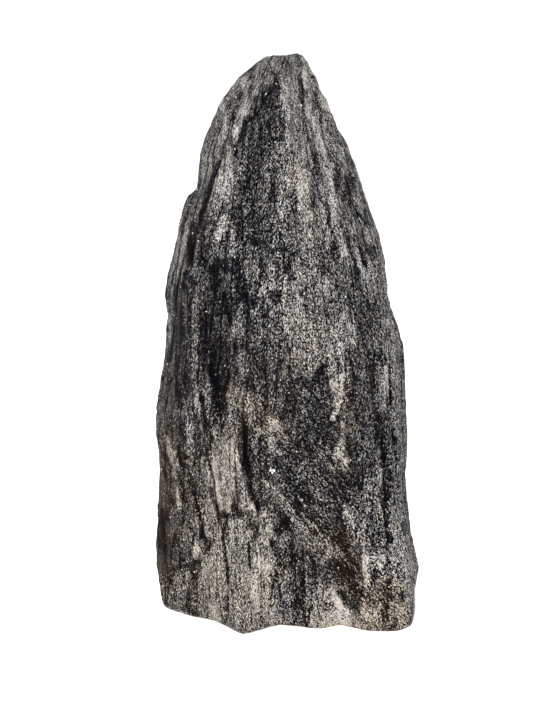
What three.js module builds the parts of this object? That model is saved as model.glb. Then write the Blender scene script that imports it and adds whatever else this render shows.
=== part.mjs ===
// A rough-broken specimen of banded mica schist: one natural stone, standing on its flat foot.
// Millimetres, +Z up. The broad front looks along -Y, and the foliation runs up the stone along Z.
//
// The stone is skinned over level rings. Each ring runs from the left edge across the front to the
// right edge and back round behind. The two edges give the outline that is seen from the front, and
// the stations between them give how far the front and the back stand out at each height.
import * as THREE from "three";

// The left and right edges from the foot to the crest: [height, x].
const LEFT_EDGE = [
  [0, -40.9], [5, -41.7], [14, -43.2], [22, -43.2], [34, -42.6], [43, -41.9], [52, -42.1],
  [59, -43.1], [67, -42.5], [75, -41.3], [84, -39.8], [94, -38.9], [98, -38.2], [105, -39.2],
  [112, -38.3], [119, -36.3], [126, -35.0], [133, -33.4], [136.8, -32.0], [139.6, -28.4],
  [145, -27.6], [149, -27.1], [155, -25.4], [160, -23.3], [166, -20.6], [170, -17.6],
  [173.5, -15.2], [176, -12.4], [178.6, -9.2], [180.9, -5.8],
];
const RIGHT_EDGE = [
  [0, 43.9], [8, 44.3], [14.5, 45.0], [20, 44.1], [25, 42.8], [33, 41.5], [40, 40.6],
  [46, 39.8], [54, 40.3], [64, 40.0], [74, 39.4], [84, 39.0], [90, 37.9], [96, 36.5],
  [101, 34.3], [105, 32.9], [112, 32.4], [119, 31.3], [125, 29.6], [132, 27.0], [140, 24.2],
  [147, 21.8], [153, 19.5], [157.5, 16.4], [161, 14.8], [166, 12.6], [171, 9.8], [175, 8.3],
  [178, 7.2], [180.9, 5.2],
];
const CREST = { x: 3.0, height: 181.4 };

// Stations from the left edge, at 0, to the right edge, at 1: y at each of the station heights.
const STATION_HEIGHTS = [0, 12, 35, 60, 90, 120, 145, 165, 176, 180.2];
const FRONT_STATIONS = [
  { across: 0.0, y: [-5, -2, 1, 2, 3, 4, 5, 5.5, 6, 6] },
  { across: 0.09, y: [-11.2, -11.2, -11.5, -11, -10, -8, -5, -1.5, 1.5, 3.5] },
  { across: 0.2, y: [-15, -16.6, -18, -18.5, -15.5, -13, -9.5, -4, 0, 2.6] },
  { across: 0.32, y: [-24.5, -23.8, -23, -23.5, -20.5, -18, -13, -6.5, -1.2, 2.2] },
  { across: 0.46, y: [-19.3, -21, -22, -22.5, -26, -22, -15.5, -8, -1.6, 2] },
  { across: 0.62, y: [-22.2, -22.5, -22.5, -22.5, -27, -22.5, -15.5, -8, -1.6, 2] },
  { across: 0.7, y: [-19, -21.5, -22.8, -22.5, -25.4, -20.4, -13.6, -6.9, -1.2, 2.2] },
  { across: 0.78, y: [-21.6, -23.2, -23.5, -22.5, -23.5, -18, -11.5, -5.5, -0.6, 2.4] },
  { across: 0.91, y: [-22.8, -21.6, -19, -16.5, -14.5, -9.5, -5.5, -1.5, 1.8, 3.2] },
  { across: 0.965, y: [-19.5, -16.5, -12.5, -10, -7.5, -4.5, -1.5, 1, 3.4, 4.2] },
  { across: 1.0, y: [-6, -4, -1, 0, 2, 3.5, 4.5, 5, 5.5, 5.5] },
];
const BACK_STATIONS = [
  { across: 0.95, y: [11, 12, 15, 16, 17, 15.5, 14, 11.5, 9, 7.4] },
  { across: 0.74, y: [21, 23, 25.5, 26, 26, 23, 19, 15, 10.6, 8.2] },
  { across: 0.46, y: [26.5, 27.5, 28, 28, 27, 25.5, 22, 16.5, 11.5, 8.6] },
  { across: 0.2, y: [22.5, 23.5, 23.5, 22.5, 21.5, 21, 18.5, 14.5, 10.6, 8.2] },
  { across: 0.04, y: [9, 10.5, 12, 12, 12, 13, 13, 11, 8.6, 7.2] },
];

// Where a flake or a spall has come away from the front: centre x and height, half width and half
// length, lean from upright in degrees, and depth.
const FRONT_HOLLOWS = [
  { x: 14, height: 55, halfWidth: 19, halfLength: 31, lean: 12, depth: 3.0 },
  { x: 26, height: 20, halfWidth: 9, halfLength: 22, lean: 32, depth: 2.0 },
  { x: -20, height: 96, halfWidth: 7, halfLength: 32, lean: 6, depth: 2.2 },
  { x: -12, height: 146, halfWidth: 5, halfLength: 26, lean: 14, depth: 1.4 },
  { x: -31, height: 12, halfWidth: 12, halfLength: 13, lean: -10, depth: 1.6 },
];

// Flat breaks across the back: each is a plane through [x, y, height] that the stone doesn't pass,
// with how much its y grows for each millimetre to the right and for each millimetre up.
const BACK_BREAKS = [
  { through: [24, 22.5, 60], growsRight: -0.42, growsUp: 0.03 },
  { through: [-20, 23.0, 90], growsRight: 0.34, growsUp: -0.05 },
  { through: [0, 24.5, 130], growsRight: -0.06, growsUp: -0.3 },
  { through: [6, 24.0, 10], growsRight: 0.1, growsUp: 0.16 },
];

const EDGE_SMOOTHING = 16; // the faces follow the edges averaged over this height
const NOTCH_WIDTH = 0.14; // and the notches die out over this share of the width
const NOTCH_THICKNESS = 11; // and over this depth to the front and to the back of the edge
const FACE_DIVISIONS = 4; // ring points from one station to the next
const ROUNDNESS = 0.45; // 0 keeps the faces between stations flat, 1 rounds them fully
const LEVEL_GAP = 3.6; // most height between rings
const LEAST_GAP = 1.5; // least height between rings
const STEP_DEPTH = 1.1; // broken steps on the faces
const STEP_WIDTH = 13;
const STEP_LENGTH = 34;
const BACK_STEP_SCALE = 1.5; // the hidden back broke more coarsely

const { lerp, smoothstep, degToRad } = THREE.MathUtils;

// The value at a height, on straight lines between listed [height, value] points.
function along(points, height) {
  const next = points.findIndex(([h]) => h > height);
  if (next <= 0) return points[next === 0 ? 0 : points.length - 1][1];
  const [h0, v0] = points[next - 1];
  const [h1, v1] = points[next];
  return lerp(v0, v1, (height - h0) / (h1 - h0));
}

// An edge without its notches: its average around a height, over less of it near the two ends.
function smoothEdge(edge, height) {
  const reach = Math.min(EDGE_SMOOTHING / 2, height, CREST.height - height);
  const offsets = [-1, -0.5, 0, 0.5, 1];
  return offsets.reduce((sum, n) => sum + along(edge, height + n * reach), 0) / offsets.length;
}

// A fixed number from -1 to 1 for each corner of a lattice.
function latticeValue(i, j, k) {
  const mixed = Math.sin(i * 127.1 + j * 311.7 + k * 74.7) * 43758.5453;
  return 2 * (mixed - Math.floor(mixed)) - 1;
}

// Smooth noise from -1 to 1, from the eight lattice corners around a point.
function smoothNoise(x, y, z) {
  const base = [x, y, z].map(Math.floor);
  const part = [x, y, z].map((v, n) => smoothstep(v - base[n], 0, 1));
  let sum = 0;
  for (let corner = 0; corner < 8; corner++) {
    const step = [corner & 1, (corner >> 1) & 1, corner >> 2];
    const share = step.reduce((s, on, n) => s * (on ? part[n] : 1 - part[n]), 1);
    sum += share * latticeValue(...step.map((on, n) => base[n] + on));
  }
  return sum;
}

// How deep the front is hollowed at a place.
function hollowDepth(x, height) {
  let depth = 0;
  for (const hollow of FRONT_HOLLOWS) {
    const lean = degToRad(hollow.lean);
    const dx = x - hollow.x;
    const dz = height - hollow.height;
    const across = (dx * Math.cos(lean) + dz * Math.sin(lean)) / hollow.halfWidth;
    const up = (dz * Math.cos(lean) - dx * Math.sin(lean)) / hollow.halfLength;
    depth += hollow.depth * (1 - smoothstep(Math.hypot(across, up), 0.35, 1));
  }
  return depth;
}

// The furthest back that the flat breaks let the stone reach.
function breakLimit(x, height) {
  const limits = BACK_BREAKS.map(
    ({ through, growsRight, growsUp }) =>
      through[1] + growsRight * (x - through[0]) + growsUp * (height - through[2]),
  );
  return Math.min(...limits);
}

// The broken surface: steps, hollows and flat breaks move a point in depth only, and fade out
// towards the two edges and the crest, so that the outline stays.
function roughened(point, across) {
  const height = point.z;
  const isBack = point.y > along(FRONT_STATIONS[0].y.map((y, n) => [STATION_HEIGHTS[n], y]), height);
  const fromEdge = Math.min(across, 1 - across);
  const fade = smoothstep(fromEdge, 0, 0.15) * smoothstep(CREST.height - height, 0, 25);
  const layer = isBack ? 7 : -7;
  const coarse = smoothNoise(point.x / STEP_WIDTH, layer, height / STEP_LENGTH);
  const fine = smoothNoise(point.x / 5, layer / 2, height / 14);
  const steps = STEP_DEPTH * (isBack ? BACK_STEP_SCALE : 1) * (coarse + 0.4 * fine);
  const hollow = isBack ? 0 : hollowDepth(point.x, height);
  const y = point.y + fade * (steps + hollow);
  return point.setY(isBack ? Math.min(y, breakLimit(point.x, height)) : y);
}

// The ring at a height, anticlockwise seen from above. Every station's point is on it, so that the
// long edges of the stone stay lines of vertices.
function ringAt(height) {
  const stations = [...FRONT_STATIONS, ...BACK_STATIONS];
  const [left, right] = [LEFT_EDGE, RIGHT_EDGE].map((edge) => smoothEdge(edge, height));
  const corners = stations.map(({ across, y }) => {
    const depth = along(y.map((v, n) => [STATION_HEIGHTS[n], v]), height);
    return new THREE.Vector3(lerp(left, right, across), depth, height);
  });
  const round = new THREE.CatmullRomCurve3(corners, true, "centripetal");
  const ring = [];
  corners.forEach((corner, n) => {
    const next = corners[(n + 1) % corners.length];
    for (let step = 0; step < FACE_DIVISIONS; step++) {
      const share = step / FACE_DIVISIONS;
      const point = corner.clone().lerp(next, share);
      point.lerp(round.getPoint((n + share) / corners.length), ROUNDNESS);
      const across = (point.x - left) / (right - left);
      const edge = across < 0.5 ? LEFT_EDGE : RIGHT_EDGE;
      const edgePoint = across < 0.5 ? corners[0] : corners[FRONT_STATIONS.length - 1];
      const inward = smoothstep(Math.min(across, 1 - across), 0, NOTCH_WIDTH);
      const inDepth = smoothstep(Math.abs(point.y - edgePoint.y), 0, NOTCH_THICKNESS);
      point.x += (along(edge, height) - edgePoint.x) * (1 - inward) * (1 - inDepth);
      ring.push(roughened(point, across));
    }
  });
  return ring;
}

// Ring heights: the bends of the two edges, thinned where they crowd and filled where they are
// far apart.
function ringHeights() {
  const bends = [...LEFT_EDGE, ...RIGHT_EDGE].map(([height]) => height).sort((a, b) => a - b);
  const heights = [bends[0]];
  for (const height of bends) {
    const last = heights.at(-1);
    if (height - last < LEAST_GAP) continue;
    const parts = Math.ceil((height - last) / LEVEL_GAP);
    for (let n = 1; n <= parts; n++) heights.push(last + ((height - last) * n) / parts);
  }
  return heights;
}

// The closed skin over the rings, with a fan over the foot and one over the crest.
function stoneGeometry() {
  const rings = ringHeights().map(ringAt);
  const around = rings[0].length;
  const last = rings.length - 1;
  const crest = new THREE.Vector3(CREST.x, 0, CREST.height);
  rings[last].forEach((p) => (crest.y += p.y / around));
  const points = [...rings.flat(), new THREE.Vector3(0, 0, 0), crest];
  const foot = points.length - 2;
  const faces = [];
  for (let n = 0; n < around; n++) {
    const next = (n + 1) % around;
    for (let level = 0; level < last; level++) {
      const [a, b] = [level * around + n, level * around + next];
      faces.push(a, b, b + around, a, b + around, a + around);
    }
    faces.push(foot, next, n);
    faces.push(foot + 1, last * around + n, last * around + next);
  }
  const geometry = new THREE.BufferGeometry().setFromPoints(points);
  geometry.setIndex(faces);
  geometry.computeVertexNormals();
  return geometry;
}

// The stone's origin is at the centre of its outer box, on the plane that it stands on.
function centredOnFoot(geometry) {
  geometry.computeBoundingBox();
  const middle = geometry.boundingBox.getCenter(new THREE.Vector3());
  return geometry.translate(-middle.x, -middle.y, 0);
}

const schist = new THREE.MeshStandardMaterial({ color: 0x57544f, roughness: 0.75, metalness: 0 });
const stone = new THREE.Mesh(centredOnFoot(stoneGeometry()), schist);
stone.name = "schist_block";

const specimen = new THREE.Group();
specimen.add(stone);
export default specimen;
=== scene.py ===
import math

import bmesh
import bpy
import numpy as np
from mathutils import Matrix, Vector
from mathutils.bvhtree import BVHTree


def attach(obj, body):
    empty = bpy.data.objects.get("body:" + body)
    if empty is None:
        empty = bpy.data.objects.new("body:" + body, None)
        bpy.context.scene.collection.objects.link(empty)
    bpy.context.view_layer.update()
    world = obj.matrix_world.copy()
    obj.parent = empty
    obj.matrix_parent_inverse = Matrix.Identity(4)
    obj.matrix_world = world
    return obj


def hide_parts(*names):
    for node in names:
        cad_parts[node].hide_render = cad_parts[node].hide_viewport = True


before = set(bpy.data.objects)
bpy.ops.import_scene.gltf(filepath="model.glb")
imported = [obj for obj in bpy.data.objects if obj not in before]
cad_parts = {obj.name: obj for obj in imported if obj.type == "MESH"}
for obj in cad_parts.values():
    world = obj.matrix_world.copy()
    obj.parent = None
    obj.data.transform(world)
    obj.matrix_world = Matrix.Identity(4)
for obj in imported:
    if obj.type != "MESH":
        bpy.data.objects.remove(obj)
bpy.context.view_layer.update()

# ---- The camera -----------------------------------------------------------------------------------
# It stands a little above the stone's middle and looks down on its broad front. The bands, ledges
# and cracks of that front are placed by column and row in its frame.
COLUMNS, ROWS = 533, 711
LENS, SENSOR = 60.0, 36.0
TILT = math.radians(14.0)
AIM = Vector((-0.00695, 0.0, 0.086))
DISTANCE = 0.385


def put(name, data):
    """A new object in the scene that holds the data."""
    placed = bpy.data.objects.new(name, data)
    bpy.context.scene.collection.objects.link(placed)
    return placed


camera_data = bpy.data.cameras.new("camera")
camera_data.lens, camera_data.sensor_width = LENS, SENSOR
camera = put("camera", camera_data)
camera.location = AIM + DISTANCE * Vector((0, -math.cos(TILT), math.sin(TILT)))
camera.rotation_euler = (math.pi / 2 - TILT, 0, 0)
bpy.context.scene.camera = camera


def in_frame(places):
    """The column and row at which the camera sees places, which are in millimetres."""
    off = places - np.array(camera.location) * 1000
    deep = off[..., 1] * math.cos(TILT) - off[..., 2] * math.sin(TILT)
    high = off[..., 1] * math.sin(TILT) + off[..., 2] * math.cos(TILT)
    scale = LENS / SENSOR * ROWS / deep
    return COLUMNS / 2 + scale * off[..., 0], ROWS / 2 - scale * high


# ---- The stone ------------------------------------------------------------------------------------
# One natural block of mica schist, broken by hand along and across its layers and left rough.
# Its layers run up the stone and fan out from the tip. It stands on its own flat foot.
# All measures of the stone are in millimetres until its mesh is made.
MM = 0.001
CREST = 181.4
FAN_FROM = 163.0  # above this height the rings close over the crest
FRONT_POINTS = 236  # points of each ring across the front
BACK_POINTS = 140  # and round the back
FOOT_RINGS = [0.0, 0.2, 0.5, 0.9, 1.4]  # heights of the close rings that round the foot's rim
UPRIGHT_RINGS = 214
CREST_RINGS = 30
RAYS = 720  # cast round a centre to find each ring


def smooth(value, low, high):
    """0 below low, 1 above high, and an even curve between."""
    share = np.clip((value - low) / (high - low), 0.0, 1.0)
    return share * share * (3.0 - 2.0 * share)


def scattered(cell, seed):
    """A fixed number from -1 to 1 for each whole-numbered cell."""
    mixed = (cell @ np.array([374761393, 668265263, 2147483647])) + seed * 1274126177
    mixed = (mixed ^ (mixed >> 13)) * 1103515245
    mixed = mixed ^ (mixed >> 16)
    return (mixed & 0xFFFFF) / 524287.5 - 1.0


def uneven(places, size, seed, octaves=1):
    """Smooth noise from -1 to 1 at places, with lumps of the given size in each direction."""
    total, weight, share = 0.0, 0.0, 1.0
    scaled = places / np.array(size)
    for octave in range(octaves):
        base = np.floor(scaled).astype(np.int64)
        part = smooth(scaled - base, 0.0, 1.0)
        value = 0.0
        for corner in range(8):
            step = np.array([corner & 1, (corner >> 1) & 1, corner >> 2])
            near = np.prod(np.where(step, part, 1.0 - part), axis=-1)
            value = value + near * scattered(base + step, seed + octave)
        total, weight = total + share * value, weight + share
        share, scaled = share * 0.5, scaled * 2.03
    return total / weight


def blurred(rows, width, wrap):
    """Rows of numbers averaged with their neighbours along the first direction."""
    reach = int(3 * width)
    weights = np.exp(-0.5 * (np.arange(-reach, reach + 1) / width) ** 2)
    padded = np.pad(rows, ((reach, reach), (0, 0)), mode="wrap" if wrap else "edge")
    length = len(rows)
    parts = [w * padded[n : n + length] for n, w in enumerate(weights)]
    return sum(parts) / weights.sum()


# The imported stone's own surface, merged into one skin, is what the fine rings are cast on.
packed_stone = bmesh.new()
packed_stone.from_mesh(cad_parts["schist_block"].data)
bmesh.ops.remove_doubles(packed_stone, verts=packed_stone.verts, dist=1e-6)
bmesh.ops.scale(packed_stone, vec=(1 / MM,) * 3, verts=packed_stone.verts)
skin = BVHTree.FromBMesh(packed_stone)
top = max(packed_stone.verts, key=lambda v: v.co.z).co
tip = np.array([top.x, top.y, CREST])
packed_stone.free()


def spine(height):
    """The line inside the stone, from the middle of the foot to the tip."""
    return tip * np.array([height / CREST, height / CREST, 0.0]) + np.array([0, 0, height])


def cast_ring(centre, rise):
    """The ring of skin points seen from a centre, rising at an angle: evenly spaced across the
    front from the left edge to the right edge, and evenly again round the back."""
    turns = np.linspace(math.pi, 3 * math.pi, RAYS + 1)
    seen = []
    for turn in turns[:-1]:
        way = Vector((math.cos(turn) * math.cos(rise), math.sin(turn) * math.cos(rise), math.sin(rise)))
        seen.append(skin.ray_cast(Vector(centre), way)[0])
    seen = np.array(seen + seen[:1])
    left, right = np.argmin(seen[:, 0]), np.argmax(seen[:, 0])
    seen = np.roll(seen[:-1], -left, axis=0)
    right = (right - left) % RAYS
    seen = np.vstack([seen, seen[:1]])
    halves = []
    for part, count in ((seen[: right + 1], FRONT_POINTS), (seen[right:], BACK_POINTS)):
        run = np.concatenate([[0], np.cumsum(np.linalg.norm(np.diff(part, axis=0), axis=1))])
        even = np.linspace(0, run[-1], count + 1)[:-1]
        halves.append(np.stack([np.interp(even, run, part[:, axis]) for axis in range(3)], axis=1))
    return np.vstack(halves)


# The rings go up level from the foot, and then fan out over the crest. The lowest one is cast just
# above the table, so that its rays meet the skin.
heights = FOOT_RINGS + list(np.linspace(2.0, FAN_FROM, UPRIGHT_RINGS))
rings = [cast_ring(spine(height), 0.0) for height in np.maximum(heights, 0.02)]
for rise in np.linspace(0, math.pi / 2, CREST_RINGS + 1)[1:-1]:
    rings.append(cast_ring(spine(FAN_FROM), rise))
grid = np.array(rings)
ring_count, around = grid.shape[:2]
BLUR_UP, BLUR_ROUND = 0.9, 1.4  # in grid steps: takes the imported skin's facets off
grid = blurred(grid.reshape(ring_count, -1), BLUR_UP, wrap=False).reshape(grid.shape)
turned = grid.transpose(1, 0, 2).reshape(around, -1)
grid = blurred(turned, BLUR_ROUND, wrap=True).reshape(around, ring_count, 3).transpose(1, 0, 2)
grid[: len(heights), :, 2] = np.array(heights)[:, None]

# Which way the skin faces, and front: 1 where it faces the camera, and 0 where it turns away.
along_ring = np.roll(grid, -1, axis=1) - np.roll(grid, 1, axis=1)
up_rings = np.gradient(grid, axis=0)
outward = np.cross(along_ring, up_rings)
outward /= np.linalg.norm(outward, axis=2, keepdims=True)
to_camera = np.array(camera.location) / MM - grid
to_camera /= np.linalg.norm(to_camera, axis=2, keepdims=True)
front = smooth((outward * to_camera).sum(axis=2), 0.0, 0.22)

# The layers: u counts across them and z along them. They part from the tip as the outline widens.
# At the lower left they lean to the right on their way down, and at the lower right a little less.
x, y, z = grid[..., 0], grid[..., 1], grid[..., 2]
LAYER_TURN = 0.35  # how far the layers are turned from the plane of the front, in radians
LAYERS_EACH_SIDE = 38.0  # the count of u from the middle to either edge
LEAST_REACH = 12.0
upright = grid[: len(heights)]
reach_right = np.interp(z, heights, blurred(upright[..., 0].max(axis=1)[:, None], 6.0, wrap=False)[:, 0])
reach_left = np.interp(z, heights, blurred(-upright[..., 0].min(axis=1)[:, None], 6.0, wrap=False)[:, 0])
reach = np.maximum(np.where(x > 0, reach_right, reach_left), LEAST_REACH)
reach *= 1 - 0.5 * np.clip((z - FAN_FROM) / (CREST - FAN_FROM), 0, 1)
u = LAYERS_EACH_SIDE * x / reach
u = u + 0.25 * (np.clip(z, 24, 82) - 82) * smooth(-x, 4, 36)
u = u + 0.30 * (np.clip(z, 0, 34) - 34) * smooth(x, 12, 34)
u = u + 0.45 * uneven(grid, (6.0, 6.0, 13.0), 101, 2)
u = u * math.cos(LAYER_TURN) + y * math.sin(LAYER_TURN)
layers = np.stack([u, y * math.cos(LAYER_TURN) - x * math.sin(LAYER_TURN), z], axis=-1)

# Inside the scar the broken layers slant down to the right.
SLANT = math.radians(38)
across_slant = x * math.cos(SLANT) + z * math.sin(SLANT)
down_slant = z * math.cos(SLANT) - x * math.sin(SLANT)
slant = np.stack([across_slant, y, down_slant], axis=-1)

# Where each spot lies in the frame, and the same led astray, so that what is painted has edges that
# wander as grown ones do.
column, row = in_frame(grid)
column_astray = column + 2.2 * uneven(grid, (2.2, 2.2, 6.0), 71, 2)
row_astray = row + 5.0 * uneven(grid, (2.2, 2.2, 6.0), 81, 2)


def beside(path, columns, rows):
    """For each surface point: how far it is from a path of (column, row), how far along the path it
    is from 0 to 1, and 1 or -1 for the right or the left of the path going down."""
    path = np.array(path, float)
    steps = np.linalg.norm(np.diff(path, axis=0), axis=1)
    starts = np.concatenate([[0], np.cumsum(steps)])
    nearest, share, side = np.full(columns.shape, 1e9), 0.0 * columns, 1.0 + 0.0 * columns
    for n, length in enumerate(steps):
        (ca, ra), (cb, rb) = path[n], path[n + 1]
        dc, dr = (cb - ca) / length, (rb - ra) / length
        run = np.clip((columns - ca) * dc + (rows - ra) * dr, 0, length)
        off = np.hypot(columns - ca - run * dc, rows - ra - run * dr)
        closer = off < nearest
        nearest = np.where(closer, off, nearest)
        share = np.where(closer, (starts[n] + run) / starts[-1], share)
        side = np.where(closer, np.sign((columns - ca) * dr - (rows - ra) * dc), side)
    return nearest, share, side


def brushed(strokes, ground, softness=1.5):
    """The ground painted over by strokes, each of them (value, (column, row, half width), ...)."""
    for value, *path in strokes:
        off, share, _ = beside([point[:2] for point in path], column_astray, row_astray)
        width = np.interp(share, np.linspace(0, 1, len(path)), [point[2] for point in path])
        ground = ground + (value - ground) * (1 - smooth(off / width, 0.5, softness))
    return ground


# Where the scar lies: (share, then the (column, row, half width) of each bend).
SLANTED = [
    (0.85, (312, 396, 22), (326, 440, 26), (338, 490, 24)),
    (1.0, (266, 424, 12), (282, 452, 22), (296, 490, 28), (322, 540, 24), (350, 580, 22), (378, 612, 24)),
]
slanted = front * brushed(SLANTED, 0.0 * x, 1.2)

# Breaks of the front, where the stone steps back on one side of a path going down: (side, depth,
# reach, then the (column, row) of each bend). Side 1 is the right and -1 the left. Depths are in
# millimetres, and reach is how far the step takes to die out, in columns.
LEDGES = [
    (1, 2.4, 45, (243, 420), (243, 450), (246, 470), (250, 492), (256, 512), (270, 545), (285, 580)),
    (-1, 0.9, 14, (222, 517), (233, 515), (246, 511), (255, 512)),
    (1, 0.9, 16, (207, 540), (206, 552), (199, 560), (189, 564), (178, 566), (165, 566)),
    (-1, 1.1, 18, (345, 372), (340, 386), (339, 402), (334, 418)),
    (1, 0.7, 14, (212, 330), (209, 352), (209, 380), (213, 402), (222, 415)),
    (-1, 0.5, 14, (233, 330), (229, 352), (229, 375), (230, 395)),
    (1, 0.7, 16, (303, 118), (311, 142), (316, 170), (318, 200), (327, 240)),
    (-1, 0.9, 18, (219, 160), (211, 186), (202, 215), (200, 250), (199, 275)),
    (1, 0.8, 20, (345, 235), (352, 262), (358, 290), (363, 325)),
    (1, 1.2, 20, (330, 583), (340, 598), (350, 616)),
    (-1, 0.8, 20, (245, 262), (246, 285), (250, 305), (253, 330)),
]
# Open cracks: (half width in columns, depth in millimetres, then the (column, row) of each bend).
CRACKS = [
    (1.3, 1.3, (391, 364), (391, 395), (393, 425), (397, 455), (399, 490)),
    (1.1, 1.2, (223, 520), (224, 545), (226, 565), (228, 584)),
    (1.1, 0.7, (249, 543), (250, 558), (252, 571)),
    (2.6, 1.2, (386, 420), (383, 445), (385, 475), (388, 500), (387, 525), (389, 560), (390, 580)),
    (1.5, 0.7, (194, 483), (197, 505), (201, 527), (206, 548)),
    (1.4, 0.7, (201, 397), (203, 415), (206, 431)),
    (5.0, 1.6, (316, 378), (327, 364)),
    (1.4, 0.6, (362, 248), (367, 265), (375, 287)),
    (3.0, 0.8, (333, 243), (335, 258)),
    (2.2, 0.7, (294, 552), (294, 577)),
    (1.8, 0.5, (402, 590), (403, 600)),
]
# Where the outline is chipped at the tip and the foot, and stands out down the right edge:
# (millimetres, then the (column, row, half width) of each bend).
BULGES = [
    (-0.5, (268, 55, 5), (288, 54, 5)),
    (-0.3, (297, 53, 4), (300, 53, 4)),
    (0.7, (315, 84, 9), (322, 98, 9), (331, 118, 8)),
    (0.5, (337, 128, 5), (352, 165, 5), (366, 205, 5), (383, 260, 5)),
    (-0.6, (426, 596, 15), (426, 618, 15)),
]


def splintered(places, width, length, seed):
    """Heights from -1 to 1 that hold over one splinter of the layers and jump at its sides."""
    wander = 0.9 * uneven(places, (3 * width, 3 * width, length), seed)
    lane = np.floor(places[..., 0] / width + wander)
    shift = scattered(np.stack([lane, 0 * lane, 0 * lane], axis=-1).astype(np.int64), seed + 1)
    stretch = np.floor(places[..., 2] / length + 3.0 * shift)
    return scattered(np.stack([lane, stretch, 0 * lane], axis=-1).astype(np.int64), seed + 2)


def layered_relief(places):
    """Long swells, ribs and splinters that follow one set of layers."""
    return (
        0.50 * uneven(places, (9, 9, 34), 3, 2)
        + 0.26 * uneven(places, (2.6, 2.6, 26), 11, 2)
        + 0.20 * splintered(places, 3.6, 26, 17)
        + 0.13 * splintered(places, 1.3, 11, 27)
    )


# How far the broken surface stands out from the even skin, in millimetres.
relief = layered_relief(layers) * (1 - slanted) + layered_relief(slant) * slanted
relief *= 1 - 0.5 * smooth(z, 168, 179)
relief += 0.22 * uneven(grid, (3.2, 3.2, 5.0), 21, 2)
relief += 0.17 * uneven(grid, (1.0, 1.0, 1.7), 31, 1)
for width, depth, *path in CRACKS:
    off, share, _ = beside(path, column_astray, row)
    open_part = np.sin(math.pi * np.clip(share, 0.02, 0.98)) ** 0.4
    relief -= front * depth * open_part * np.exp(-((off / width) ** 2))
for sunk_side, depth, fade, *path in LEDGES:
    off, share, side = beside(path, column_astray, row)
    signed = off * side * sunk_side
    fall = smooth(signed, -1.2, 2.2) * np.exp(-np.maximum(signed, 0) / fade)
    ends = smooth(share, 0.0, 0.1) * smooth(1 - share, 0.0, 0.1)
    relief -= front * depth * fall * ends
relief += brushed(BULGES, 0.0 * x)
# How far each spot lies below what is round it: hollows are painted darker, a painted shade in them.
even = blurred(blurred(relief, 2.0, wrap=False).T, 3.5, wrap=True).T
hollow_shade = even - relief

# The foot's rim is chipped and worn round, and the sole itself stays flat on what it stands on.
rim = 0.7 + 0.5 * uneven(grid, (7, 7, 40), 41, 2)
worn = rim * (1 - np.sqrt(1 - (1 - np.clip(z / rim, 0, 1)) ** 2))
off_the_sole = smooth(z, 0.0, 2.0)
inward = outward * np.array([1, 1, 0])
inward /= np.linalg.norm(inward, axis=2, keepdims=True)
shaped = grid + outward * (relief * off_the_sole)[..., None]
shaped -= inward * worn[..., None] * (z < 4)[..., None]
shaped[..., 2] = np.where(z < 2.5, z, shaped[..., 2])

# Light and dark bands of the front, painted one over the other: (tone, then the (column, row, half
# width) of each bend). Tone runs from -1, all black mica, to 1, all pale quartz and feldspar. Some of
# the dark bands are painted shade in the open cracks and along the ledges, and on the flanks some
# washes and areas are painted shade, painted light and painted sheen. The washes come first, then the
# bands from the tip down, then the seams.
WASHES = [
    (-0.1, (288, 60, 30), (288, 340, 150), (288, 630, 160)),
    # Painted sheen: paler down the upper left flank.
    (0.05, (205, 150, 14), (188, 215, 14), (176, 265, 12), (172, 330, 9)),
    (-0.25, (262, 190, 26), (262, 250, 24)),
    (0.17, (300, 120, 20), (312, 200, 28), (325, 230, 20)),
    (0.22, (300, 270, 20), (308, 310, 32), (318, 350, 30)),
    (-0.3, (225, 280, 22), (212, 330, 22), (216, 400, 14)),
    (-0.22, (262, 350, 20), (285, 390, 24)),
    (-0.45, (300, 420, 40), (300, 460, 48), (325, 505, 40)),
    (-0.32, (366, 330, 16), (362, 400, 18), (362, 470, 18)),
    # Painted shade: darker down the lower left flank.
    (-0.2, (175, 490, 22), (176, 560, 20)),
    # Paler towards the bottom.
    (0.25, (215, 540, 24), (240, 590, 32), (262, 610, 26)),
    (-0.4, (340, 545, 22), (358, 590, 20)),
    # Painted light: paler down the lower right edge.
    (0.15, (398, 540, 16), (400, 600, 18)),
]
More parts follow.
